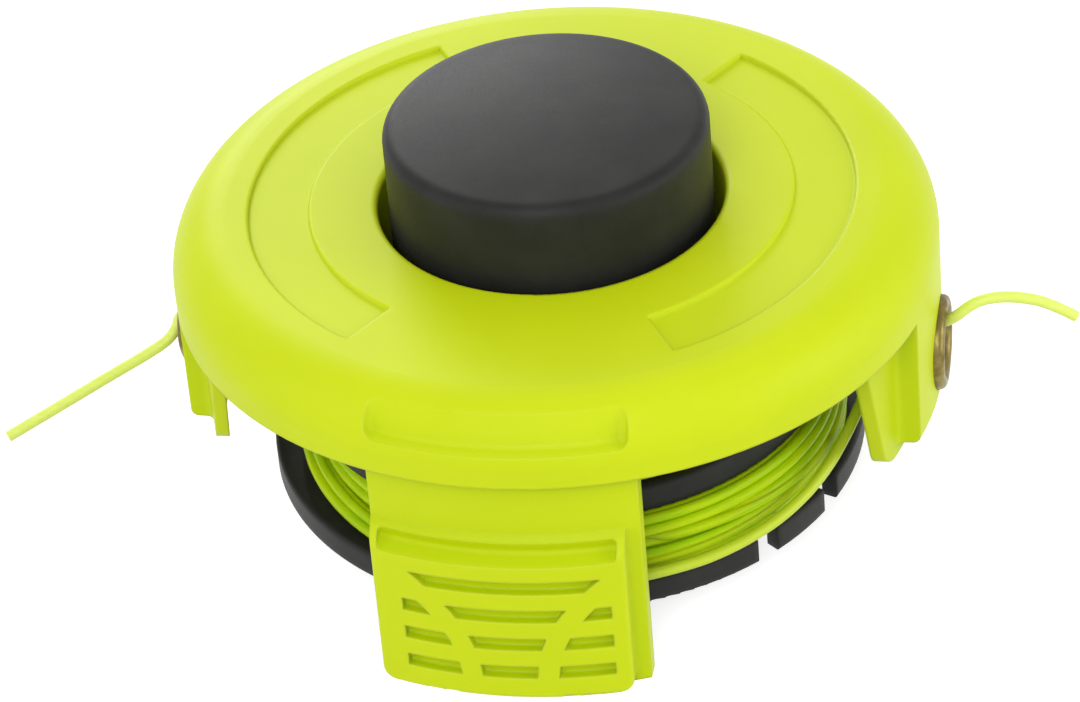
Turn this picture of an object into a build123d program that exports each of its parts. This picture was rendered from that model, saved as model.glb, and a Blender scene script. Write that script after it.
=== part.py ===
from build123d import *
import os
from math import asin, cos, radians, sin, sqrt, tan

# Trimmer line spool: a bump-feed spool with two tiers of line in its clip-on cover.
# The part stands on its snap tabs, knob up. Z is the spool axis and z = 0 is the floor.
# The snap tabs face -Y and +Y, the line eyelets face -X and +X. All sizes are in millimetres.

# Cover
cover_radius = 50.0
cover_height = 43.0
rim_drop = 10.3
cover_wall = 2.4
shoulder_radius = 7.5
hole_edge_radius = 0.8

# Ring-sector panels sunk in the cover's flat top
panel_margin = 3.1
panel_width = 7.8
panel_depth = 0.6
panel_edge_radius = 0.3
panel_span_deg = 117.0

# Finger pocket in the shoulder above each tab: it slopes in from the top and ends at a lip
pocket_end_margin = 0.6
pocket_depth = 1.1
pocket_top_deg = 57.0
pocket_floor_deg = 23.0
pocket_lip_deg = 14.0
pocket_corner_radius = 1.0

# Snap tabs
tab_width = 34.2
tab_thickness = 2.2
tab_setback = 1.4
pad_left_margin = 0.0
pad_right_margin = 1.8
pad_proud = 2.4
pad_height = 21.6
pad_edge_radius = 0.8
pad_corner_radius = 1.8
scoop_height = 2.2
scoop_depth = 0.6
scoop_draft = 0.5
scoop_corner_radius = 0.5
scoop_end_margin = 1.0
ledge_proud = 0.8
ledge_height = 0.8
latch_width = 16.0
latch_depth = 1.6
latch_height = 5.0
latch_level = 8.0

# Grip pattern on each pad: rows of grooves parted by two curved ribs
groove_rows = 4
groove_height = 1.9
groove_depth = 1.3
groove_side_margin = 3.8
groove_foot_margin = 3.4
groove_top_margin = 2.85
rib_width = 2.7
rib_head_offset = 18.4
rib_row_offsets = (4.95, 6.05, 8.7, 13.2)
rib_foot_offset = 4.7

# Ears that carry the eyelets: a thick block in front of a thin tapered skirt
ear_width = 25.0
ear_foot_margin = 0.95
ear_edge_radius = 1.0
skirt_setback = 2.8
skirt_thickness = 1.7
skirt_drop = 1.6
skirt_side_margin = 3.7
skirt_taper = 5.0
skirt_corner_radius = 3.2
valley_radius = 1.4

# Eyelets
eyelet_level = 21.0
eyelet_bore_radius = 4.4
eyelet_wall = 0.6
eyelet_lip = 1.25
eyelet_lip_base = 0.5
eyelet_inner_lip = 0.5
eyelet_inner_height = 0.7
eyelet_fit = 0.05

# Spool
knob_radius = 21.1
knob_exposed = 12.8
knob_edge_radius = 1.7
knob_dome_rise = 1.3
knob_clearance = 1.5
core_wall = 2.5
collar_wall = 2.0
bump_travel = 4.5
seat_gap = 0.3
housing_gap = 7.0
lower_flange_rim = 3.8
lower_flange_plate = 2.0
lower_flange_lip = 2.2
upper_flange_step = 4.2
upper_flange_thickness = 2.0
divider_thickness = 4.0
tier_height = 7.4
flange_edge_radius = 0.4
notch_width = 3.4
notch_depth = 3.2
notch_angles_deg = (49.3, 68.5)
dog_count = 6
dog_height = 3.0

# Line
line_diameter = 1.5
turns_per_tier = 5
turn_relief = 0.5
upper_winding_margin = 0.5
lower_winding_margin = 0.15
lower_winding_offset = 2.75
lower_winding_lean_deg = 40.0
lower_turn_step = 0.4
line_bend_share = 0.45

# Levels and radii that follow
top_z = cover_height
rim_z = top_z - rim_drop
shoulder_z = top_z - shoulder_radius
flat_radius = cover_radius - shoulder_radius
cover_inner_radius = cover_radius - cover_wall
hole_radius = knob_radius + knob_clearance
panel_outer_radius = flat_radius - panel_margin
panel_inner_radius = panel_outer_radius - panel_width
tab_outer_radius = cover_radius - tab_setback
tab_inner_radius = tab_outer_radius - tab_thickness
pad_radius = tab_outer_radius + pad_proud
pad_width = tab_width - pad_left_margin - pad_right_margin
pad_middle = (pad_left_margin - pad_right_margin) / 2
skirt_outer_radius = cover_radius - skirt_setback
skirt_inner_radius = skirt_outer_radius - skirt_thickness
eyelet_outer_radius = eyelet_bore_radius + eyelet_wall
eyelet_lip_radius = eyelet_outer_radius + eyelet_lip
eyelet_seat_x = sqrt(cover_radius**2 - (eyelet_lip_radius + eyelet_fit) ** 2)
ear_z = eyelet_level - eyelet_lip_radius - ear_foot_margin
skirt_z = ear_z - skirt_drop
lower_flange_radius = tab_inner_radius - housing_gap
upper_flange_radius = lower_flange_radius - upper_flange_step
core_bore_radius = knob_radius - core_wall
flange_z = bump_travel
lower_tier_z = flange_z + lower_flange_rim
divider_z = lower_tier_z + tier_height
upper_tier_z = divider_z + divider_thickness
upper_flange_z = upper_tier_z + tier_height
spool_seat_z = upper_flange_z + upper_flange_thickness
collar_z = spool_seat_z + seat_gap
reach = 2 * cover_radius
cutter_overrun = 2

os.makedirs("parts", exist_ok=True)

# Finger pocket cutter: a wedge-shaped ring on the shoulder's curve, kept only above the two tabs
pocket_head, pocket_floor, pocket_lip = [
    Vector(flat_radius + length * cos(radians(turn)), shoulder_z + length * sin(radians(turn)))
    for length, turn in (
        (shoulder_radius, pocket_top_deg),
        (shoulder_radius - pocket_depth, pocket_floor_deg),
        (shoulder_radius, pocket_lip_deg),
    )
]
with BuildPart() as pocket_cutter:
    with BuildSketch(Plane.XZ):
        with BuildLine():
            Polyline(
                pocket_floor,
                pocket_floor + (pocket_head - pocket_floor) * cutter_overrun,
                pocket_floor + (pocket_head + pocket_lip - pocket_floor * 2) * cutter_overrun,
                pocket_floor + (pocket_lip - pocket_floor) * cutter_overrun,
                close=True,
            )
        make_face()
    revolve(axis=Axis.Z)
    with Locations((0, 0, shoulder_z)):
        Box(tab_width - 2 * pocket_end_margin, 2 * reach, 4 * shoulder_radius, mode=Mode.INTERSECT)
    pocket_edges = pocket_cutter.edges().filter_by(
        lambda e: min((Vector(Vector(v.X, v.Y).length, v.Z) - pocket_floor).length for v in e.vertices())
        < pocket_depth / 10
    )
    fillet(pocket_edges, pocket_corner_radius)

# Snap tab plates, front and back
with BuildPart() as tab_plates:
    with BuildSketch():
        Circle(tab_outer_radius)
        Circle(tab_inner_radius, mode=Mode.SUBTRACT)
        Rectangle(tab_width, 2 * reach, mode=Mode.INTERSECT)
    extrude(amount=shoulder_z + cover_wall)
    plate_corners = tab_plates.edges().group_by(Axis.Z)[0].filter_by(Axis.Y).group_by(Axis.X)[0]
    fillet(plate_corners, pad_corner_radius)

# Grip pads: each has a ledge along its top and a finger scoop under the ledge
scoop_top_z = pad_height + scoop_height
ledge_r = tab_outer_radius + ledge_proud
with BuildPart() as grip_pads:
    with BuildSketch(Plane.XZ):
        with BuildLine():
            Polyline(
                (tab_outer_radius, scoop_top_z + ledge_height),
                (tab_inner_radius, scoop_top_z + ledge_height),
                (tab_inner_radius, 0),
                (pad_radius, 0),
                (pad_radius, pad_height),
                (ledge_r, scoop_top_z),
                close=True,
            )
        make_face()
    revolve(axis=Axis.Z)
    with BuildSketch(Plane.XZ):
        with Locations((pad_middle, pad_height)):
            Rectangle(pad_width, 2 * pad_height)
    extrude(amount=reach, both=True, mode=Mode.INTERSECT)
    pad_corners = grip_pads.edges().group_by(Axis.Z)[0].filter_by(Axis.Y)
    fillet(pad_corners, pad_corner_radius)
    outer_sides = grip_pads.edges().filter_by(Axis.Z).group_by(SortBy.LENGTH)[0]
    fillet(outer_sides, pad_edge_radius)

scoop_head = Vector(ledge_r, scoop_top_z)
scoop_floor = Vector(ledge_r - scoop_depth, pad_height + scoop_draft)
scoop_lip = Vector(pad_radius, pad_height - scoop_draft)
with BuildPart() as scoop_cutter:
    with BuildSketch(Plane.XZ):
        with BuildLine():
            Polyline(
                scoop_floor,
                scoop_floor + (scoop_head - scoop_floor) * cutter_overrun,
                scoop_floor + (scoop_head + scoop_lip - scoop_floor * 2) * cutter_overrun,
                scoop_floor + (scoop_lip - scoop_floor) * cutter_overrun,
                close=True,
            )
        make_face()
    revolve(axis=Axis.Z)
    with Locations((pad_middle, 0, pad_height)):
        Box(pad_width - 2 * scoop_end_margin, 2 * reach, 4 * scoop_height, mode=Mode.INTERSECT)
    scoop_edges = scoop_cutter.edges().filter_by(
        lambda e: min((Vector(Vector(v.X, v.Y).length, v.Z) - scoop_floor).length for v in e.vertices())
        < scoop_depth / 10
    )
    fillet(scoop_edges, scoop_corner_radius)

# Grip groove cutter: rows across the pads, less two curved ribs
groove_width = tab_width - 2 * groove_side_margin
groove_foot_z = groove_foot_margin + groove_height / 2
groove_top_z = pad_height - groove_top_margin - groove_height / 2
groove_pitch = (groove_top_z - groove_foot_z) / (groove_rows - 1)
with BuildPart() as groove_cutter:
    with BuildSketch(Plane.XZ):
        for row in range(groove_rows):
            with Locations((0, groove_foot_z + row * groove_pitch)):
                Rectangle(groove_width, groove_height)
        with BuildLine() as rib_lines:
            right_rib = Spline(
                (rib_foot_offset, 0),
                *[
                    (offset, groove_foot_z + row * groove_pitch)
                    for row, offset in enumerate(rib_row_offsets)
                ],
                (rib_head_offset, pad_height),
            )
            mirror(right_rib, about=Plane.YZ)
        trace(rib_lines.edges(), line_width=rib_width, mode=Mode.SUBTRACT)
    extrude(amount=reach, both=True)
    Cylinder(pad_radius - groove_depth, 2 * reach, mode=Mode.SUBTRACT)

# Latch barbs inside the tabs: a ramp below, a square ledge above
with BuildPart() as latches:
    with BuildSketch(Plane.XZ):
        with BuildLine():
            Polyline(
                (tab_inner_radius + tab_thickness / 2, latch_level),
                (tab_inner_radius, latch_level),
                (tab_inner_radius - latch_depth, latch_level + latch_height),
                (tab_inner_radius + tab_thickness / 2, latch_level + latch_height),
                close=True,
            )
        make_face()
    revolve(axis=Axis.Z)
    with Locations((0, 0, latch_level)):
        Box(latch_width, 2 * reach, 4 * latch_height, mode=Mode.INTERSECT)

# Ears: the skirt is cut from a ring, the block in front of it is flush with the rim
skirt_foot = ear_width / 2 + skirt_side_margin
skirt_top = skirt_foot + skirt_taper
with BuildPart() as ears:
    with BuildSketch(Plane.YZ) as skirt_outline:
        with BuildLine():
            Polyline(
                (-skirt_top, shoulder_z),
                (skirt_top, shoulder_z),
                (skirt_foot, skirt_z),
                (-skirt_foot, skirt_z),
                close=True,
            )
        make_face()
        fillet(skirt_outline.vertices().group_by(Axis.Z)[0], skirt_corner_radius)
    extrude(amount=reach, both=True)
    with BuildSketch():
        Circle(skirt_outer_radius)
        Circle(skirt_inner_radius, mode=Mode.SUBTRACT)
    extrude(amount=top_z, mode=Mode.INTERSECT)
    with BuildSketch(Plane.XY.offset(ear_z)) as block_plan:
        Circle(cover_radius)
        Rectangle(2 * reach, ear_width, mode=Mode.INTERSECT)
        Circle(skirt_outer_radius)
        inner_corners = block_plan.vertices().filter_by(
            lambda v: Vector(v.X, v.Y).length < (skirt_outer_radius + cover_radius) / 2
        )
        fillet(inner_corners, valley_radius)
        Circle(skirt_outer_radius - skirt_thickness / 2, mode=Mode.SUBTRACT)
        Rectangle(2 * reach, ear_width + 2 * valley_radius, mode=Mode.INTERSECT)
    extrude(amount=shoulder_z - ear_z)
    foot_arcs = ears.edges().filter_by(GeomType.CIRCLE).filter_by(
        lambda e: abs(e.radius - cover_radius) < skirt_setback / 2 and e.center().Z < eyelet_level
    )
    fillet(foot_arcs, ear_edge_radius)

# Cover: the capped shell turned about Z, with the tabs, ears and their openings
with BuildPart() as spool_cover:
    with BuildSketch(Plane.XZ):
        with BuildLine():
            Polyline(
                (flat_radius, top_z),
                (hole_radius, top_z),
                (hole_radius, collar_z),
                (hole_radius + collar_wall, collar_z),
                (hole_radius + collar_wall, top_z - cover_wall),
                (flat_radius, top_z - cover_wall),
            )
            RadiusArc(
                (flat_radius, top_z - cover_wall),
                (cover_inner_radius, shoulder_z),
                shoulder_radius - cover_wall,
            )
            Polyline(
                (cover_inner_radius, shoulder_z),
                (cover_inner_radius, rim_z),
                (cover_radius, rim_z),
                (cover_radius, shoulder_z),
            )
            RadiusArc(
                (cover_radius, shoulder_z),
                (flat_radius, top_z),
                -shoulder_radius,
            )
        make_face()
    revolve(axis=Axis.Z)
    top_circles = spool_cover.edges().group_by(Axis.Z)[-1].filter_by(GeomType.CIRCLE)
    fillet(top_circles.sort_by(SortBy.RADIUS)[0], hole_edge_radius)
    with BuildSketch(Plane.XY.offset(top_z)):
        Circle(panel_outer_radius)
        Circle(panel_inner_radius, mode=Mode.SUBTRACT)
        half_span = radians(panel_span_deg / 2)
        with BuildLine():
            Polyline(
                (0, 0),
                (reach * cos(half_span), reach * sin(half_span)),
                (reach, 0),
                (reach * cos(half_span), -reach * sin(half_span)),
                close=True,
            )
        wedge = make_face(mode=Mode.PRIVATE)
        add([wedge, wedge.rotate(Axis.Z, 180)], mode=Mode.INTERSECT)
    extrude(amount=-panel_depth, mode=Mode.SUBTRACT)
    panel_edges = spool_cover.edges().group_by(Axis.Z)[-1].filter_by(
        lambda e: panel_inner_radius - panel_margin
        < Vector((e @ 0.5).X, (e @ 0.5).Y).length
        < panel_outer_radius + panel_margin / 2
    )
    fillet(panel_edges, panel_edge_radius)
    add(pocket_cutter.part, mode=Mode.SUBTRACT)
    add(tab_plates.part)
    add(grip_pads.part)
    add(scoop_cutter.part, mode=Mode.SUBTRACT)
    add(groove_cutter.part, mode=Mode.SUBTRACT)
    add(latches.part)
    add(ears.part)
    for side in (-1, 1):
        with BuildSketch(Plane.YZ):
            with Locations((0, eyelet_level)):
                Circle(eyelet_outer_radius + eyelet_fit)
        extrude(amount=side * reach, mode=Mode.SUBTRACT)
        with BuildSketch(Plane.YZ.offset(side * eyelet_seat_x)):
            with Locations((0, eyelet_level)):
                Circle(eyelet_lip_radius + eyelet_fit)
        extrude(amount=side * cover_wall, mode=Mode.SUBTRACT)
spool_cover.part.label = "spool_cover"
export_step(spool_cover.part, "parts/spool_cover.step")

# Eyelets: a thin tube with a thick rolled lip outside and a small one inside
eyelet_end_x = skirt_inner_radius - eyelet_inner_height
eyelet_step_x = eyelet_end_x + eyelet_inner_height / 2
eyelet_lip_x = eyelet_seat_x + eyelet_lip_base
eyelet_roll = (eyelet_lip_radius - eyelet_bore_radius) / 2
for eyelet_name, side in (("eyelet_left", -1), ("eyelet_right", 1)):
    with BuildPart() as eyelet:
        with BuildSketch(Plane.XZ):
            with BuildLine():
                Polyline(
                    (side * eyelet_end_x, eyelet_bore_radius),
                    (side * eyelet_end_x, eyelet_outer_radius + eyelet_inner_lip),
                    (side * eyelet_step_x, eyelet_outer_radius + eyelet_inner_lip),
                    (side * eyelet_step_x, eyelet_outer_radius),
                    (side * eyelet_seat_x, eyelet_outer_radius),
                    (side * eyelet_seat_x, eyelet_lip_radius),
                    (side * eyelet_lip_x, eyelet_lip_radius),
                )
                ThreePointArc(
                    (side * eyelet_lip_x, eyelet_lip_radius),
                    (side * (eyelet_lip_x + eyelet_roll), eyelet_bore_radius + eyelet_roll),
                    (side * eyelet_lip_x, eyelet_bore_radius),
                )
                Line((side * eyelet_lip_x, eyelet_bore_radius), (side * eyelet_end_x, eyelet_bore_radius))
            make_face()
        revolve(axis=Axis.X)
    eyelet.part = eyelet.part.moved(Location((0, 0, eyelet_level)))
    eyelet.part.label = eyelet_name
    export_step(eyelet.part, f"parts/{eyelet_name}.step")

# Spool: knob, core and three flanges turned as one profile
knob_top_z = top_z + knob_exposed
knob_shoulder_z = knob_top_z - knob_dome_rise
plate_z = lower_tier_z - lower_flange_plate
dome_foot_r = knob_radius - knob_edge_radius
dome_radius = (dome_foot_r**2 + knob_dome_rise**2) / (2 * knob_dome_rise)
dome_half_angle = asin(dome_foot_r / dome_radius) / 2
with BuildPart() as spool:
    with BuildSketch(Plane.XZ):
        with BuildLine():
            Polyline(
                (core_bore_radius, 0),
                (knob_radius, 0),
                (knob_radius, plate_z),
                (lower_flange_radius - lower_flange_lip, plate_z),
                (lower_flange_radius - lower_flange_lip, flange_z),
                (lower_flange_radius, flange_z),
                (lower_flange_radius, lower_tier_z),
                (knob_radius, lower_tier_z),
                (knob_radius, divider_z),
                (upper_flange_radius, divider_z),
                (upper_flange_radius, upper_tier_z),
                (knob_radius, upper_tier_z),
                (knob_radius, upper_flange_z),
                (upper_flange_radius, upper_flange_z),
                (upper_flange_radius, spool_seat_z),
                (knob_radius, spool_seat_z),
                (knob_radius, knob_shoulder_z - knob_edge_radius),
            )
            RadiusArc(
                (knob_radius, knob_shoulder_z - knob_edge_radius),
                (dome_foot_r, knob_shoulder_z),
                -knob_edge_radius,
            )
            ThreePointArc(
                (dome_foot_r, knob_shoulder_z),
                (dome_radius * sin(dome_half_angle), knob_top_z - dome_radius * (1 - cos(dome_half_angle))),
                (0, knob_top_z),
            )
            Polyline(
                (0, knob_top_z),
                (0, knob_shoulder_z - core_wall),
                (core_bore_radius, knob_shoulder_z - core_wall),
                (core_bore_radius, 0),
            )
        make_face()
    revolve(axis=Axis.Z)
    outer_edges = spool.edges().filter_by(GeomType.CIRCLE).filter_by(
        lambda e: abs(e.radius - lower_flange_radius) < flange_edge_radius
        or abs(e.radius - upper_flange_radius) < flange_edge_radius
    )
    fillet(outer_edges, flange_edge_radius)
    for angle in notch_angles_deg:
        for turn in (angle, angle + 180):
            with BuildSketch():
                with Locations(Location((0, 0, 0), (0, 0, turn - 90))):
                    with Locations((lower_flange_radius, 0)):
                        Rectangle(2 * notch_depth, notch_width)
            extrude(amount=lower_tier_z, mode=Mode.SUBTRACT)
    with BuildSketch():
        with PolarLocations(knob_radius, dog_count):
            Rectangle(4 * core_wall, 2 * knob_radius * sin(radians(90 / dog_count)))
    extrude(amount=dog_height, mode=Mode.SUBTRACT)
spool.part.label = "spool"
export_step(spool.part, "parts/spool.step")

# Windings: one ridge for each turn of line across the tier, wound tight on the core
turn_pitch = tier_height / turns_per_tier
upper_winding_radius = upper_flange_radius - upper_winding_margin
lower_winding_radius = lower_flange_radius - lower_winding_margin - lower_winding_offset
lean = radians(lower_winding_lean_deg)
lower_axis = (lower_winding_offset * sin(lean), -lower_winding_offset * cos(lean))
for winding_name, tier_z, radius, turn_step, axis_xy in (
    ("winding_lower", lower_tier_z, lower_winding_radius, lower_turn_step, lower_axis),
    ("winding_upper", upper_tier_z, upper_winding_radius, 0, (0, 0)),
):
    with BuildPart() as winding:
        with BuildSketch(Plane.XZ):
            with BuildLine():
                foot_r = radius - turn_relief
                for turn in range(turns_per_tier):
                    low = tier_z + turn * turn_pitch
                    valley_r = foot_r - turn * turn_step
                    ThreePointArc(
                        (valley_r, low),
                        (valley_r - turn_step / 2 + turn_relief, low + turn_pitch / 2),
                        (valley_r - turn_step, low + turn_pitch),
                    )
                Polyline(
                    (foot_r - turns_per_tier * turn_step, tier_z + tier_height),
                    (0, tier_z + tier_height),
                    (0, tier_z),
                    (foot_r, tier_z),
                )
            make_face()
        revolve(axis=Axis.Z)
    with BuildPart() as wound:
        with Locations((axis_xy[0], axis_xy[1], 0)):
            add(winding.part)
        with BuildSketch():
            Circle(knob_radius)
        extrude(amount=top_z, mode=Mode.SUBTRACT)
    wound.part.label = winding_name
    export_step(wound.part, f"parts/{winding_name}.step")

# Free line ends: off the windings and out through the eyelets
right_route = (
    (12.42, -38.24, 9.6),
    (19.56, -35.29, 9.6),
    (25.97, -30.95, 9.8),
    (31.9, -24.92, 10.5),
    (36.5, -17.8, 12.3),
    (39.6, -9.9, 15.4),
    (41.6, -4.2, 19.2),
    (43.9, -0.6, 22.6),
    (47.4, 0.3, 23.5),
    (51.2, 0.3, 24.0),
    (54.5, 0.9, 27.0),
    (57.7, 1.5, 27.5),
    (60.9, 2.1, 27.0),
    (64.1, 2.7, 25.8),
    (67.4, 3.2, 23.5),
)
left_route = (
    (-27.91, 21.88, 23.4),
    (-36.15, 11.99, 23.3),
    (-43.8, 1.6, 22.9),
    (-52.0, -1.8, 22.55),
    (-55.3, -3.6, 18.4),
    (-60.0, -7.05, 16.05),
    (-66.0, -11.4, 14.2),
    (-72.9, -16.4, 12.0),
)
for line_name, route in (("line_end_right", right_route), ("line_end_left", left_route)):
    points = [Vector(*p) for p in route]
    runs = [b - a for a, b in zip(points, points[1:])]
    radii = [
        line_bend_share * min(a.length, b.length) / tan(radians(a.get_angle(b)) / 2)
        for a, b in zip(runs, runs[1:])
    ]
    with BuildPart() as line_end:
        with BuildLine():
            path = FilletPolyline(*points, radius=radii)
        with BuildSketch(Plane(points[0], z_dir=runs[0])):
            Circle(line_diameter / 2)
        sweep()
    line_end.part.label = line_name
    export_step(line_end.part, f"parts/{line_name}.step")
    print(line_name, "length", round(path.length, 1), "radii", [round(r, 1) for r in radii])
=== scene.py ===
import logging
import random
from dataclasses import dataclass
from enum import Enum
from math import cos, pi, radians, sin, tau
from typing import Any

import bmesh
import bpy
from mathutils import Matrix, Vector


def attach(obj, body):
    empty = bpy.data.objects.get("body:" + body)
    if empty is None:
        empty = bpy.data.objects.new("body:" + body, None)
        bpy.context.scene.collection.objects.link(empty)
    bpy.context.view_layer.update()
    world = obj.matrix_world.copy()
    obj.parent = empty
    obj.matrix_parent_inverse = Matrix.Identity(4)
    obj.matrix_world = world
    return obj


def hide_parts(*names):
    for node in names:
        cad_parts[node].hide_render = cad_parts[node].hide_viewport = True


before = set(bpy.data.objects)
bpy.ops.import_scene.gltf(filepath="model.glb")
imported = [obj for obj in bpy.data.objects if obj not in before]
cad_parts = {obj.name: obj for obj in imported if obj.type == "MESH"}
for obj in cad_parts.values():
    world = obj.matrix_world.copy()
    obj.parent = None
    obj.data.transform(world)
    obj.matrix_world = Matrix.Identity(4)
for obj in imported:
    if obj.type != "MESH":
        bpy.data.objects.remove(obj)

LOG = logging.getLogger("trimmer_line_spool")
Colour = tuple[float, float, float]
Point = tuple[float, float, float]
Span = tuple[float, float]
Socket = bpy.types.NodeSocket
MM = 0.001
WHITE = (1.0, 1.0, 1.0, 1.0)

# Sockets of the mix node when it mixes colours
MIX_SHARE, MIX_FIRST, MIX_SECOND, MIX_RESULT = 0, 6, 7, 2
# How rough the finer octaves of a noise are, and the part of its range that is spread out
NOISE_ROUGHNESS = 0.55
NOISE_SPREAD: Span = (0.3, 0.7)
# How well the rounded normal agrees with the flat one where an edge begins, and where it is full
EDGE_TURN: Span = (0.975, 0.8)
EDGE_SAMPLES = 6
HOLLOW_SAMPLES = 8
# The sizes that a wave of a wander is drawn from
WAVE_SIZES: Span = (0.5, 1.0)
# Where the middle of a wound turn lies, in turns
TURN_MIDDLE = 0.5


class Body(Enum):
    """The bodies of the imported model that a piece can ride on."""

    COVER = "cover"
    LINE_ENDS = "line_ends"
    SPOOL = "spool"


class Slot(Enum):
    """The record's material slots."""

    LIME = "lime_plastic"
    BLACK = "black_plastic"
    METAL = "eyelet_metal"
    NYLON = "nylon_line"


class Layer(Enum):
    """The layers of closed turns in a tier."""

    UNDER = "under"
    OUTER = "outer"


class Graph:
    """A material's node tree, with short calls that add and join nodes."""

    def __init__(self, name: str) -> None:
        """Start an empty material.

        Args:
            name: the material's name.
        """
        self.material = bpy.data.materials.new(name)
        self.material.use_nodes = True
        self.tree = self.material.node_tree
        self.tree.nodes.clear()
        self.output = self.tree.nodes.new("ShaderNodeOutputMaterial")
        self.coords = self.tree.nodes.new("ShaderNodeTexCoord")

    def node(
        self, kind: str, inputs: dict[str, Any] | None = None, **settings: Any
    ) -> bpy.types.Node:
        """Add a node.

        Args:
            kind: the node's type name.
            inputs: plain values for its input sockets, by name.
            settings: the node's own properties.

        Returns:
            The new node.
        """
        made = self.tree.nodes.new(kind)
        for key, value in settings.items():
            setattr(made, key, value)
        for key, value in (inputs or {}).items():
            made.inputs[key].default_value = value
        return made

    def join(self, source: Socket, target: Socket) -> None:
        """Link one socket to another."""
        self.tree.links.new(source, target)

    def noise(
        self, size: float, detail: float = 2.0, stretch: Point = (1.0, 1.0, 1.0)
    ) -> Socket:
        """Add a noise that lies in the part's own frame.

        Args:
            size: the size of its blotches in metres.
            detail: its finer octaves.
            stretch: how many times finer it is along each axis.

        Returns:
            The noise's value socket, about 0.5 on average.
        """
        mapping = self.node("ShaderNodeMapping", {"Scale": stretch})
        texture = self.node(
            "ShaderNodeTexNoise",
            {"Scale": 1.0 / size, "Detail": detail, "Roughness": NOISE_ROUGHNESS},
        )
        self.join(self.coords.outputs["Object"], mapping.inputs["Vector"])
        self.join(mapping.outputs["Vector"], texture.inputs["Vector"])
        return texture.outputs["Fac"]

    def side_reach(self) -> Socket:
        """Measure how far a spot lies to either side of the part.

        Returns:
            The socket of the distance from the YZ plane in metres.
        """
        parted = self.node("ShaderNodeSeparateXYZ")
        distance = self.node("ShaderNodeMath", operation="ABSOLUTE")
        self.join(self.coords.outputs["Object"], parted.inputs["Vector"])
        self.join(parted.outputs["X"], distance.inputs[0])
        return distance.outputs["Value"]

    def level(self) -> Socket:
        """Measure how high a spot lies in the part's own frame.

        Returns:
            The socket of its level in metres.
        """
        parted = self.node("ShaderNodeSeparateXYZ")
        self.join(self.coords.outputs["Object"], parted.inputs["Vector"])
        return parted.outputs["Z"]

    def product(self, first: Socket, second: Socket) -> Socket:
        """Multiply two values.

        Args:
            first: the socket of one value.
            second: the socket of the other.

        Returns:
            The result's socket.
        """
        made = self.node("ShaderNodeMath", operation="MULTIPLY")
        self.join(first, made.inputs[0])
        self.join(second, made.inputs[1])
        return made.outputs["Value"]

    def span(self, value: Socket, source: Span, target: Span = (0.0, 1.0)) -> Socket:
        """Map a value's range to another range.

        Args:
            value: the socket to map.
            source: the two values that give the ends of the new range.
            target: the ends of the new range.

        Returns:
            The mapped value's socket, held within the new range.
        """
        ranged = self.node(
            "ShaderNodeMapRange",
            {
                "From Min": source[0],
                "From Max": source[1],
                "To Min": target[0],
                "To Max": target[1],
            },
        )
        self.join(value, ranged.inputs["Value"])
        return ranged.outputs["Result"]

    def blend(self, share: Socket, first: Colour | Socket, second: Colour | Socket) -> Socket:
        """Mix two colours.

        Args:
            share: the socket that says how much of the second shows.
            first: a colour, or the socket of one.
            second: a colour, or the socket of one.

        Returns:
            The mixed colour's socket.
        """
        mix = self.node("ShaderNodeMix", data_type="RGBA")
        self.join(share, mix.inputs[MIX_SHARE])
        for given, socket in ((first, mix.inputs[MIX_FIRST]), (second, mix.inputs[MIX_SECOND])):
            if isinstance(given, Socket):
                self.join(given, socket)
            else:
                socket.default_value = (*given, 1.0)
        return mix.outputs[MIX_RESULT]

    def soft_edges(self, radius: float) -> tuple[Socket, Socket]:
        """Round the look of sharp edges.

        Args:
            radius: the edge radius in metres.

        Returns:
            The rounded normal's socket, and a socket that is 1 on edges and 0 on flat ground.
        """
        bevel = self.node("ShaderNodeBevel", {"Radius": radius}, samples=EDGE_SAMPLES)
        ground = self.node("ShaderNodeNewGeometry")
        dot = self.node("ShaderNodeVectorMath", operation="DOT_PRODUCT")
        self.join(bevel.outputs["Normal"], dot.inputs[0])
        self.join(ground.outputs["Normal"], dot.inputs[1])
        return bevel.outputs["Normal"], self.span(dot.outputs["Value"], EDGE_TURN)

    def hollows(self, reach: float, openness: Span) -> Socket:
        """Find the hollows, where less light gets in.

        Args:
            reach: how far off a wall still counts, in metres.
            openness: the share of open sky at which a hollow begins, and at which it is full.

        Returns:
            A socket that is 1 deep in a hollow and 0 on open ground.
        """
        opening = self.node(
            "ShaderNodeAmbientOcclusion",
            {"Distance": reach},
            samples=HOLLOW_SAMPLES,
            only_local=True,
        )
        return self.span(opening.outputs["AO"], openness)

    def bump(self, height: Socket, depth: float, normal: Socket | None = None) -> Socket:
        """Add a bump.

        Args:
            height: the socket of the height pattern.
            depth: the pattern's depth in metres.
            normal: the socket of the normal under it, if any.

        Returns:
            The bumped normal's socket.
        """
        made = self.node("ShaderNodeBump", {"Distance": depth, "Strength": 1.0})
        self.join(height, made.inputs["Height"])
        if normal is not None:
            self.join(normal, made.inputs["Normal"])
        return made.outputs["Normal"]


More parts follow.
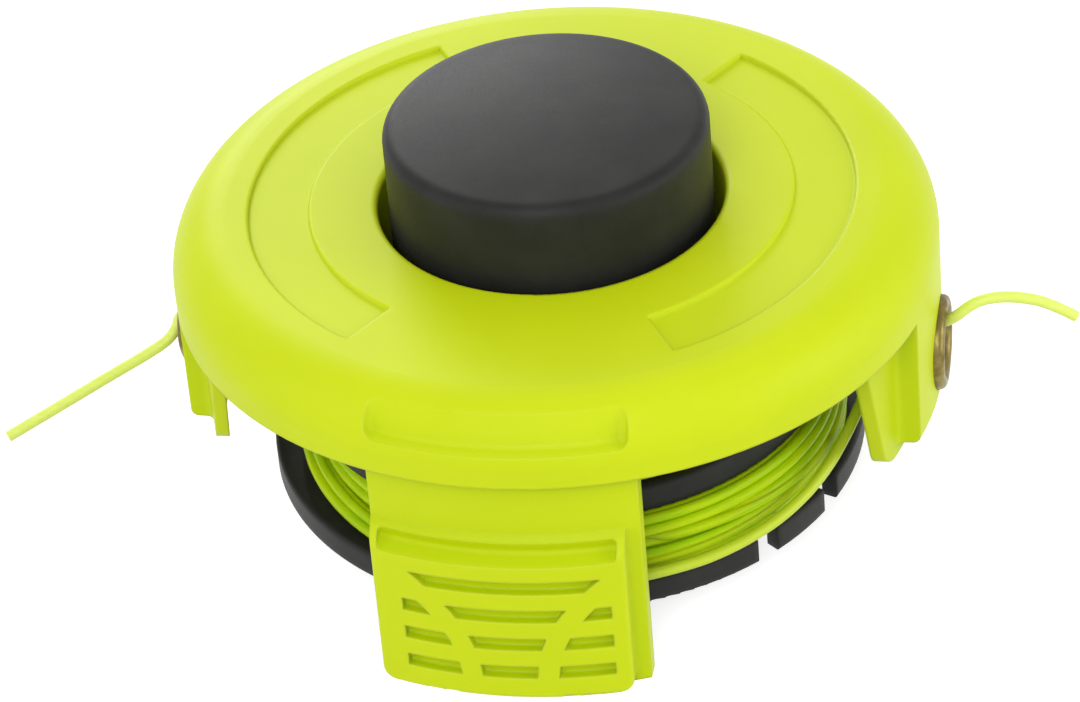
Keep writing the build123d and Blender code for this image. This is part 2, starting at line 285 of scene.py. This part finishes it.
@dataclass(frozen=True)
class MouldedFinish:
    """Injection-moulded plastic: a coloured ground, fine grain, soft edges with a painted
    highlight, and painted shade in its hollows.

    Lengths are in metres, colours are linear.
    """

    name: str
    colour: Colour
    deep_colour: Colour
    # Painted highlight: the lighter colour that edges are tinted towards, and how much of it shows
    edge_highlight_colour: Colour
    edge_highlight_share: float
    edge_radius: float
    # Painted shade: the darker colour that hollows are tinted towards where less light gets in,
    # with the reach and openness of that mask
    hollow_shade_colour: Colour
    hollow_reach: float
    hollow_openness: Span
    blotch_size: float
    grain_size: float
    grain_depth: float
    roughness: Span
    specular: float
    subsurface: float
    subsurface_radius: Point
    # Painted shade is faded to a smaller share of its strength above these levels, on the top
    top_levels: Span | None = None
    top_shade_share: float = 1.0

    def material(self) -> bpy.types.Material:
        """Build the material.

        Returns:
            The new material.
        """
        graph = Graph(self.name)
        shader = graph.node(
            "ShaderNodeBsdfPrincipled",
            {
                "Specular IOR Level": self.specular,
                "Subsurface Weight": self.subsurface,
                "Subsurface Radius": self.subsurface_radius,
                "Subsurface Scale": 1.0,
            },
        )
        normal, edge = graph.soft_edges(self.edge_radius)
        blotch = graph.span(graph.noise(self.blotch_size, detail=3.0), NOISE_SPREAD)
        ground = graph.blend(blotch, self.colour, self.deep_colour)
        # Painted shade: the ground colour darkens in hollows, where less light gets in, and less so
        # on the top
        shade_mask = graph.hollows(self.hollow_reach, self.hollow_openness)
        if self.top_levels is not None:
            fade = graph.span(graph.level(), self.top_levels, (1.0, self.top_shade_share))
            shade_mask = graph.product(shade_mask, fade)
        ground = graph.blend(shade_mask, ground, self.hollow_shade_colour)
        # Painted highlight: edges are lightened towards the lighter edge colour
        edge_highlight_part = graph.span(edge, (0.0, 1.0), (0.0, self.edge_highlight_share))
        graph.join(graph.blend(edge_highlight_part, ground, self.edge_highlight_colour), shader.inputs["Base Color"])
        grain = graph.noise(self.grain_size, detail=3.0)
        graph.join(graph.span(grain, NOISE_SPREAD, self.roughness), shader.inputs["Roughness"])
        graph.join(graph.bump(grain, self.grain_depth, normal), shader.inputs["Normal"])
        graph.join(shader.outputs["BSDF"], graph.output.inputs["Surface"])
        return graph.material


@dataclass(frozen=True)
class MetalFinish:
    """Dull rolled metal with rubbed streaks round its lip. Lengths are in metres."""

    name: str
    colour: Colour
    tarnish: Colour
    tarnish_size: float
    tarnish_spread: Span
    streak_size: float
    streak_stretch: Point
    streak_depth: float
    roughness: Span

    def material(self) -> bpy.types.Material:
        """Build the material.

        Returns:
            The new material.
        """
        graph = Graph(self.name)
        shader = graph.node("ShaderNodeBsdfPrincipled", {"Metallic": 1.0})
        stain = graph.span(graph.noise(self.tarnish_size, detail=4.0), self.tarnish_spread)
        graph.join(graph.blend(stain, self.colour, self.tarnish), shader.inputs["Base Color"])
        graph.join(graph.span(stain, (0.0, 1.0), self.roughness), shader.inputs["Roughness"])
        streak = graph.noise(self.streak_size, stretch=self.streak_stretch)
        graph.join(graph.bump(streak, self.streak_depth), shader.inputs["Normal"])
        graph.join(shader.outputs["BSDF"], graph.output.inputs["Surface"])
        return graph.material


@dataclass(frozen=True)
class NylonFinish:
    """Drawn nylon line: clear lime with streaks along its run, and painted shade where it runs
    inside the cover. Lengths are in metres.
    """

    name: str
    colour: Colour
    deep_colour: Colour
    streak_size: float
    streak_stretch: Point
    specular: float
    streak_spread: Span = (0.36, 0.64)
    # Painted shade: a darker colour for the run inside the cover, fading out between two reaches
    # from the middle
    inside_shade_colour: Colour | None = None
    inside_shade_ends: Span = (42.0 * MM, 52.0 * MM)
    roughness: Span = (0.3, 0.46)
    subsurface: float = 0.25
    subsurface_radius: Point = (0.6 * MM, 0.6 * MM, 0.15 * MM)
    scuff_size: float = 0.35 * MM
    scuff_depth: float = 0.006 * MM

    def material(self) -> bpy.types.Material:
        """Build the material.

        Returns:
            The new material.
        """
        graph = Graph(self.name)
        shader = graph.node(
            "ShaderNodeBsdfPrincipled",
            {
                "Specular IOR Level": self.specular,
                "Subsurface Weight": self.subsurface,
                "Subsurface Radius": self.subsurface_radius,
                "Subsurface Scale": 1.0,
            },
        )
        streak = graph.noise(self.streak_size, detail=3.0, stretch=self.streak_stretch)
        streak = graph.span(streak, self.streak_spread)
        ground = graph.blend(streak, self.colour, self.deep_colour)
        # Painted shade: the line darkens where it runs inside the cover, near the middle
        if self.inside_shade_colour is not None:
            outside = graph.span(graph.side_reach(), self.inside_shade_ends)
            ground = graph.blend(outside, self.inside_shade_colour, ground)
        graph.join(ground, shader.inputs["Base Color"])
        scuff = graph.noise(self.scuff_size)
        graph.join(graph.span(scuff, NOISE_SPREAD, self.roughness), shader.inputs["Roughness"])
        graph.join(graph.bump(scuff, self.scuff_depth), shader.inputs["Normal"])
        graph.join(shader.outputs["BSDF"], graph.output.inputs["Surface"])
        return graph.material


LIME_PLASTIC = MouldedFinish(
    name="satin_lime_plastic",
    colour=(0.655, 0.775, 0.006),
    deep_colour=(0.62, 0.745, 0.004),
    # Painted highlight along the edges
    edge_highlight_colour=(0.73, 0.84, 0.07),
    edge_highlight_share=0.6,
    edge_radius=0.55 * MM,
    # Painted shade in the hollows
    hollow_shade_colour=(0.55, 0.68, 0.0005),
    hollow_reach=10.0 * MM,
    hollow_openness=(1.0, 0.91),
    blotch_size=22.0 * MM,
    grain_size=0.28 * MM,
    grain_depth=0.006 * MM,
    roughness=(0.4, 0.52),
    specular=0.2,
    subsurface=0.12,
    subsurface_radius=(1.2 * MM, 1.4 * MM, 0.25 * MM),
    top_levels=(38.0 * MM, 41.0 * MM),
    top_shade_share=0.2,
)
BLACK_PLASTIC = MouldedFinish(
    name="matt_black_plastic",
    colour=(0.023, 0.0225, 0.0215),
    deep_colour=(0.0125, 0.0125, 0.012),
    # Painted highlight along the edges
    edge_highlight_colour=(0.06, 0.06, 0.058),
    edge_highlight_share=0.12,
    edge_radius=1.3 * MM,
    # Painted shade in the hollows
    hollow_shade_colour=(0.004, 0.004, 0.0037),
    hollow_reach=4.0 * MM,
    hollow_openness=(0.98, 0.7),
    blotch_size=9.0 * MM,
    grain_size=0.22 * MM,
    grain_depth=0.012 * MM,
    roughness=(0.45, 0.55),
    specular=0.2,
    subsurface=0.0,
    subsurface_radius=(0.1 * MM, 0.1 * MM, 0.1 * MM),
)
EYELET_METAL = MetalFinish(
    name="dull_eyelet_metal",
    colour=(0.24, 0.192, 0.062),
    tarnish=(0.155, 0.115, 0.036),
    tarnish_size=1.6 * MM,
    tarnish_spread=(0.38, 0.68),
    streak_size=0.25 * MM,
    streak_stretch=(4.0, 1.0, 1.0),
    streak_depth=0.012 * MM,
    roughness=(0.28, 0.5),
)
WOUND_LINE = NylonFinish(
    name="wound_nylon_line",
    colour=(0.56, 0.75, 0.004),
    deep_colour=(0.39, 0.63, 0.002),
    streak_size=14.0 * MM,
    streak_stretch=(1.0, 1.0, 14.0),
    specular=0.14,
    subsurface=0.5,
    subsurface_radius=(1.2 * MM, 1.2 * MM, 0.3 * MM),
)
FREE_LINE = NylonFinish(
    name="free_nylon_line",
    colour=(0.84, 0.97, 0.2),
    deep_colour=(0.78, 0.92, 0.15),
    streak_size=3.0 * MM,
    streak_stretch=(1.0, 6.0, 6.0),
    specular=0.4,
    # Painted shade on the line inside the cover
    inside_shade_colour=(0.6, 0.74, 0.03),
)


def link(thing: bpy.types.Object) -> bpy.types.Object:
    """Put an object in the scene and return it."""
    bpy.context.scene.collection.objects.link(thing)
    return thing


def dress(thing: bpy.types.Object, material: bpy.types.Material) -> None:
    """Give an object one material."""
    thing.data.materials.clear()
    thing.data.materials.append(material)


def by_ray(tree: bpy.types.NodeTree, plain_light: Socket, background: Socket) -> Socket:
    """Pick a shader by the kind of ray.

    Args:
        tree: the node tree to add to.
        plain_light: the shader that lights the part.
        background: the shader for the rays that see the background, which are the camera's
            and those off gloss or through glass.

    Returns:
        The picked shader's socket.
    """
    path = tree.nodes.new("ShaderNodeLightPath")
    seen = path.outputs["Is Camera Ray"]
    for kind in ("Is Glossy Ray", "Is Transmission Ray"):
        either = tree.nodes.new("ShaderNodeMath")
        either.operation = "MAXIMUM"
        tree.links.new(seen, either.inputs[0])
        tree.links.new(path.outputs[kind], either.inputs[1])
        seen = either.outputs["Value"]
    pick = tree.nodes.new("ShaderNodeMixShader")
    for source, socket in zip((seen, plain_light, background), pick.inputs):
        tree.links.new(source, socket)
    return pick.outputs["Shader"]


def smooth_step(share: float) -> float:
    """Ease a share from 0 to 1 with flat ends."""
    return share * share * (3 - 2 * share)


class Waver:
    """A smooth seeded wander round the spool's axis."""

    def __init__(self, rng: random.Random, waves: int = 4) -> None:
        """Draw the waves.

        Args:
            rng: the seeded source of numbers.
            waves: how many cosines are added up.
        """
        self.parts = [
            (wave, rng.uniform(0, tau), rng.uniform(*WAVE_SIZES) / wave)
            for wave in range(1, waves + 1)
        ]
        self.size = sum(size for _, _, size in self.parts)

    def at(self, turn: float) -> float:
        """Give the wander from -1 to 1 at an angle in radians."""
        total = sum(size * cos(wave * turn + start) for wave, start, size in self.parts)
        return total / self.size


@dataclass(frozen=True)
class LooseRun:
    """A loose run of line over a tier.

    Its two ends have angles in degrees, and levels as shares of the tier's height. The stand-off
    is how far the run lies off the tier, in metres.
    """

    angles: Span
    levels: Span
    stand_off: float = 0.0


@dataclass
class WoundTier:
    """One tier of wound line: an under layer, an outer layer and a few loose runs.

    Lengths are in metres, angles in degrees.
    """

    name: str
    node: str
    foot: float
    height: float
    radius: float
    axis: tuple[float, float]
    seed: int
    turns: int = 5
    line: float = 1.5 * MM
    sleeve_depth: float = 3.0 * MM
    sleeve_margin: float = 0.02 * MM
    under_depth: float = 1.55 * MM
    outer_depth: float = 0.5 * MM
    wander: float = 0.42 * MM
    shared_bend: float = 0.65
    own_bend: float = 0.35
    step_in: float = 0.0
    swell: float = 0.22 * MM
    clear: float = 0.05 * MM
    lift_rate: float = 6.0
    steps: int = 150
    least_steps: int = 12
    sides: int = 10
    loose_runs: tuple[LooseRun, ...] = ()
    finish: NylonFinish = WOUND_LINE

    def tube(self, mesh: bmesh.types.BMesh, path: list[Vector], closed: bool) -> None:
        """Add a round strand along a path.

        Args:
            mesh: the mesh to add to.
            path: the strand's middle line.
            closed: whether its ends join.
        """
        rings = []
        count = len(path)
        for index, spot in enumerate(path):
            before = path[(index - 1) % count] if closed or index else path[0]
            after = path[(index + 1) % count] if closed or index < count - 1 else path[-1]
            along = (after - before).normalized()
            out = Vector((spot.x - self.axis[0], spot.y - self.axis[1], 0.0)).normalized()
            up = along.cross(out).normalized()
            out = up.cross(along).normalized()
            ring = []
            for side in range(self.sides):
                turn = tau * side / self.sides
                offset = (out * cos(turn) + up * sin(turn)) * (self.line / 2)
                ring.append(mesh.verts.new(spot + offset))
            rings.append(ring)
        pairs = list(zip(rings, rings[1:]))
        if closed:
            pairs.append((rings[-1], rings[0]))
        for first, second in pairs:
            for side in range(self.sides):
                after = (side + 1) % self.sides
                mesh.faces.new((first[side], first[after], second[after], second[side]))
        if not closed:
            mesh.faces.new(rings[0])
            mesh.faces.new(list(reversed(rings[-1])))

    def spot(self, turn: float, reach: float, level: float) -> Vector:
        """Give a point by its angle in radians, its reach from the tier's axis and its level."""
        return Vector((self.axis[0] + reach * cos(turn), self.axis[1] + reach * sin(turn), level))

    def inset(self, place: float) -> float:
        """Give how far inside the tier's radius a turn lies, by its place in turns."""
        return self.step_in * (place + TURN_MIDDLE)

    def layer(self, mesh: bmesh.types.BMesh, kind: Layer, rng: random.Random) -> None:
        """Wind one layer of closed turns.

        Args:
            mesh: the mesh to add to.
            kind: which layer it is.
            rng: the seeded source of numbers.
        """
        depth = self.under_depth if kind is Layer.UNDER else self.outer_depth
        low = self.foot + self.line / 2
        room = self.height - self.line
        shared = Waver(rng)
        for turn_index in range(self.turns):
            share = turn_index / (self.turns - 1)
            rise = Waver(rng)
            swell = Waver(rng)
            path = []
            for step in range(self.steps):
                turn = tau * step / self.steps
                bend = self.shared_bend * shared.at(turn) * sin(pi * share)
                bend += self.own_bend * rise.at(turn)
                level = low + share * room + self.wander * bend
                level = min(max(level, low), low + room)
                reach = self.radius - self.line / 2 - depth - self.inset(turn_index)
                reach += self.swell * swell.at(turn)
                path.append(self.spot(turn, reach, level))
            self.tube(mesh, path, True)

    def loose(self, mesh: bmesh.types.BMesh, run: LooseRun) -> None:
        """Lay one loose run over the outer layer, with both ends tucked in.

        Args:
            mesh: the mesh to add to.
            run: where it lies.
        """
        start, end = run.angles
        low, high = run.levels
        count = max(self.least_steps, int(self.steps * abs(end - start) / 360.0))
        room = self.height - self.line
        path = []
        for step in range(count + 1):
            share = step / count
            turn = radians(start + (end - start) * share)
            lift = smooth_step(min(1.0, self.lift_rate * share, self.lift_rate * (1.0 - share)))
            rise = low + (high - low) * smooth_step(share)
            level = self.foot + self.line / 2 + room * rise
            reach = self.radius - self.line / 2 - self.inset((self.turns - 1) * rise)
            reach = reach - self.under_depth * (1 - lift) - self.clear
            reach += run.stand_off * lift
            path.append(self.spot(turn, reach, level))
        self.tube(mesh, path, False)

    def sleeve(self, mesh: bmesh.types.BMesh) -> None:
        """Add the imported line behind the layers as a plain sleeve.

        Args:
            mesh: the mesh to add to.
        """
        reach = self.radius - self.sleeve_depth - self.step_in * self.turns
        rings = []
        head = self.foot + self.height
        for level in (self.foot + self.sleeve_margin, head - self.sleeve_margin):
            spots = [self.spot(tau * step / self.steps, reach, level) for step in range(self.steps)]
            rings.append([mesh.verts.new(spot) for spot in spots])
        for step in range(self.steps):
            after = (step + 1) % self.steps
            mesh.faces.new((rings[0][step], rings[0][after], rings[1][after], rings[1][step]))

    def build(self) -> bpy.types.Object:
        """Wind the tier.

        Returns:
            The tier's object, riding on the spool in place of its plain solid.
        """
        rng = random.Random(self.seed)
        mesh = bmesh.new()
        self.sleeve(mesh)
        self.layer(mesh, Layer.UNDER, rng)
        self.layer(mesh, Layer.OUTER, rng)
        for run in self.loose_runs:
            self.loose(mesh, run)
        bmesh.ops.recalc_face_normals(mesh, faces=mesh.faces)
        data = bpy.data.meshes.new(self.name)
        mesh.to_mesh(data)
        mesh.free()
        data.polygons.foreach_set("use_smooth", [True] * len(data.polygons))
        piece = link(bpy.data.objects.new(self.name, data))
        dress(piece, self.finish.material())
        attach(piece, Body.SPOOL.value)
        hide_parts(self.node)
        LOG.info("%s: %d faces", self.name, len(data.polygons))
        return piece


@dataclass
class LineEnd:
    """A free end of the line, on the route that the solid follows.

    The route is in millimetres, the length in metres.
    """

    name: str
    node: str
    route: tuple[Point, ...]
    length: float
    diameter: float = 1.5 * MM
    steps: int = 12
    roundness: int = 4
    order: int = 3

    def build(self, material: bpy.types.Material) -> bpy.types.Object:
        """Lay the line.

        Args:
            material: the line's material.

        Returns:
            The line's curve object.
        """
        data = bpy.data.curves.new(self.name, "CURVE")
        data.dimensions = "3D"
        data.resolution_u = self.steps
        data.bevel_depth = self.diameter / 2
        data.bevel_resolution = self.roundness
        data.use_fill_caps = True
        spline = data.splines.new("NURBS")
        spline.points.add(len(self.route) - 1)
        for point, spot in zip(spline.points, self.route):
            point.co = (spot[0] * MM, spot[1] * MM, spot[2] * MM, 1.0)
        spline.order_u = self.order
        spline.use_endpoint_u = True
        spline.resolution_u = self.steps
        piece = link(bpy.data.objects.new(self.name, data))
        dress(piece, material)
        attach(piece, Body.LINE_ENDS.value)
        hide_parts(self.node)
        LOG.info("%s: %d points, %.1f mm", self.name, len(self.route), self.length / MM)
        return piece


@dataclass
class LineSet:
    """All of the part's line: two wound tiers and two free ends."""

    tiers: tuple[WoundTier, ...] = (
        WoundTier(
            name="wound_line_lower",
            node="winding_lower",
            foot=8.3 * MM,
            height=7.4 * MM,
            radius=36.3 * MM,
            axis=(1.768 * MM, -2.107 * MM),
            step_in=0.4 * MM,
            seed=11,
            loose_runs=(
                LooseRun(angles=(-175.0, -20.0), levels=(0.3, 0.0)),
                LooseRun(angles=(-195.0, -80.0), levels=(0.2, 0.0), stand_off=1.3 * MM),
                LooseRun(angles=(-215.0, -60.0), levels=(0.4, 0.12), stand_off=0.6 * MM),
                LooseRun(angles=(-100.0, 40.0), levels=(0.05, 0.45)),
                LooseRun(angles=(-75.0, 25.0), levels=(0.62, 0.2)),
                LooseRun(angles=(60.0, 190.0), levels=(0.1, 0.7)),
            ),
        ),
        WoundTier(
            name="wound_line_upper",
            node="winding_upper",
            foot=19.7 * MM,
            height=7.4 * MM,
            radius=34.7 * MM,
            axis=(0.0, 0.0),
            seed=23,
            loose_runs=(
                LooseRun(angles=(-170.0, -20.0), levels=(0.1, 0.8)),
                LooseRun(angles=(40.0, 170.0), levels=(0.85, 0.2)),
            ),
        ),
    )
    ends: tuple[LineEnd, ...] = (
        LineEnd(
            name="free_line_right",
            node="line_end_right",
            route=(
                (12.42, -38.24, 9.6),
                (19.56, -35.29, 9.6),
                (25.97, -30.95, 9.8),
                (31.9, -24.92, 10.5),
                (36.5, -17.8, 12.3),
                (39.6, -9.9, 15.4),
                (41.6, -4.2, 19.2),
                (43.9, -0.6, 22.6),
                (47.4, 0.3, 23.5),
                (51.2, 0.3, 24.0),
                (54.5, 0.9, 27.0),
                (57.7, 1.5, 27.5),
                (60.9, 2.1, 27.0),
                (64.1, 2.7, 25.8),
                (67.4, 3.2, 23.5),
            ),
            length=79.8 * MM,
        ),
        LineEnd(
            name="free_line_left",
            node="line_end_left",
            route=(
                (-27.91, 21.88, 23.4),
                (-36.15, 11.99, 23.3),
                (-43.8, 1.4, 22.8),
                (-49.0, -0.4, 22.3),
                (-51.6, -0.8, 22.2),
                (-52.6, -1.9, 18.8),
                (-56.5, -4.5, 17.2),
                (-60.5, -7.4, 16.0),
                (-66.0, -11.4, 14.2),
                (-72.9, -16.4, 12.0),
            ),
            length=62.4 * MM,
        ),
    )

    def build(self) -> None:
        """Lay the free ends, then wind the tiers."""
        material = FREE_LINE.material()
        for end in self.ends:
            end.build(material)
        for tier in self.tiers:
            tier.build()


@dataclass
class Mouldings:
    """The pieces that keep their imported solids: cover, spool and eyelets."""

    lime: MouldedFinish = LIME_PLASTIC
    black: MouldedFinish = BLACK_PLASTIC
    metal: MetalFinish = EYELET_METAL

    def build(self) -> None:
        """Give each solid its finish."""
        metal = self.metal.material()
        for node, material in (
            ("spool_cover", self.lime.material()),
            ("spool", self.black.material()),
            ("eyelet_left", metal),
            ("eyelet_right", metal),
        ):
            dress(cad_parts[node], material)
            LOG.info("%s: dressed in %s", node, material.name)


@dataclass
class PhotoCamera:
    """The photograph's camera, placed by its range and angles from the middle of the cover's top.

    Lengths are in metres, apart from the sensor's width, and angles in degrees.
    """

    focal_px: float = 5000.0
    image_width_px: float = 1080.0
    sensor_mm: float = 36.0
    nearest: float = 10.0 * MM
    target_level: float = 43.0 * MM
    distance: float = 648.0 * MM
    elevation: float = 34.03
    azimuth: float = 11.63
    yaw: float = -0.347
    pitch: float = 35.846
    roll: float = 5.05

    def build(self) -> bpy.types.Object:
        """Make the scene's camera.

        Returns:
            The camera object.
        """
        yaw, pitch, roll = radians(self.yaw), radians(self.pitch), radians(self.roll)
        rise = radians(self.elevation)
        ahead = Vector((sin(yaw) * cos(pitch), cos(yaw) * cos(pitch), -sin(pitch)))
        right = Vector((cos(yaw), -sin(yaw), 0.0))
        down = ahead.cross(right)
        right_rolled = cos(roll) * right + sin(roll) * down
        down_rolled = -sin(roll) * right + cos(roll) * down
        height = self.target_level + self.distance * sin(rise)
        stand = Vector((0.0, -self.distance * cos(rise), height))
        turned = Matrix((right_rolled, -down_rolled, -ahead)).transposed().to_4x4()
        turned.translation = stand
        data = bpy.data.cameras.new("photo_camera")
        data.sensor_fit = "HORIZONTAL"
        data.sensor_width = self.sensor_mm
        data.lens = self.focal_px / self.image_width_px * self.sensor_mm
        data.clip_start = self.nearest
        camera = link(bpy.data.objects.new("photo_camera", data))
        camera.matrix_world = Matrix.Rotation(radians(self.azimuth), 4, "Z") @ turned
        bpy.context.scene.camera = camera
        LOG.info("camera: lens %.1f mm", data.lens)
        return camera


@dataclass(frozen=True)
class Lamp:
    """A soft square lamp that looks at the part. Lengths are in metres, its power in watts."""

    name: str
    place: Point
    size: float
    power: float

    def build(self, aim: Vector) -> None:
        """Hang the lamp.

        Args:
            aim: the point that it looks at.
        """
        data = bpy.data.lights.new(self.name, "AREA")
        data.shape = "SQUARE"
        data.size = self.size
        data.energy = self.power
        lamp = link(bpy.data.objects.new(self.name, data))
        lamp.location = self.place
        lamp.rotation_euler = (aim - lamp.location).to_track_quat("-Z", "Y").to_euler()


@dataclass
class Studio:
    """White floor, white surround and soft lamps. Lengths are in metres."""

    floor_radius: float = 1.5
    floor_steps: int = 96
    floor_colour: Colour = (0.68, 0.68, 0.68)
    floor_glow: float = 0.74
    surround_light: float = 0.65
    background_light: float = 1.0
    aim: Point = (0.0, 0.0, 0.03)
    lamps: tuple[Lamp, ...] = (
        Lamp("front_lamp", place=(0.0, -0.95, 0.75), size=0.5, power=4.4),
        Lamp("back_lamp", place=(-0.42, 0.98, 0.43), size=0.45, power=4.3),
        Lamp("right_lamp", place=(1.05, -0.1, 0.3), size=0.6, power=3.0),
        Lamp("left_lamp", place=(-0.95, -0.5, 0.45), size=0.6, power=1.0),
    )

    def floor_material(self) -> bpy.types.Material:
        """Build the floor's white, which still takes the part's shadow.

        Returns:
            The new material.
        """
        graph = Graph("white_floor")
        ground = graph.node("ShaderNodeBsdfDiffuse", {"Color": (*self.floor_colour, 1.0)})
        glow = graph.node("ShaderNodeEmission", {"Color": WHITE, "Strength": self.floor_glow})
        both = graph.node("ShaderNodeAddShader")
        graph.join(ground.outputs["BSDF"], both.inputs[0])
        graph.join(glow.outputs["Emission"], both.inputs[1])
        shown = by_ray(graph.tree, ground.outputs["BSDF"], both.outputs["Shader"])
        graph.join(shown, graph.output.inputs["Surface"])
        return graph.material

    def surround(self) -> None:
        """Set the world: white where it is seen or reflected, plain soft light elsewhere."""
        world = bpy.data.worlds.new("white_surround")
        world.use_nodes = True
        tree = world.node_tree
        tree.nodes.clear()
        output = tree.nodes.new("ShaderNodeOutputWorld")
        shades = []
        for strength in (self.surround_light, self.background_light):
            shade = tree.nodes.new("ShaderNodeBackground")
            shade.inputs["Color"].default_value = WHITE
            shade.inputs["Strength"].default_value = strength
            shades.append(shade.outputs["Background"])
        tree.links.new(by_ray(tree, *shades), output.inputs["Surface"])
        bpy.context.scene.world = world

    def build(self) -> None:
        """Lay the floor, set the surround and hang the lamps."""
        mesh = bmesh.new()
        bmesh.ops.create_circle(
            mesh, cap_ends=True, segments=self.floor_steps, radius=self.floor_radius
        )
        data = bpy.data.meshes.new("floor")
        mesh.to_mesh(data)
        mesh.free()
        floor = link(bpy.data.objects.new("floor", data))
        dress(floor, self.floor_material())
        self.surround()
        for lamp in self.lamps:
            lamp.build(Vector(self.aim))
        LOG.info("studio: %d lamps", len(self.lamps))


def main() -> None:
    """Build the camera, the line, the mouldings and the studio."""
    logging.basicConfig(level=logging.INFO, format="%(message)s")
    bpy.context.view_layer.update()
    bpy.context.scene.view_settings.view_transform = "Standard"
    PhotoCamera().build()
    LineSet().build()
    Mouldings().build()
    Studio().build()


if __name__ == "__main__":
    main()
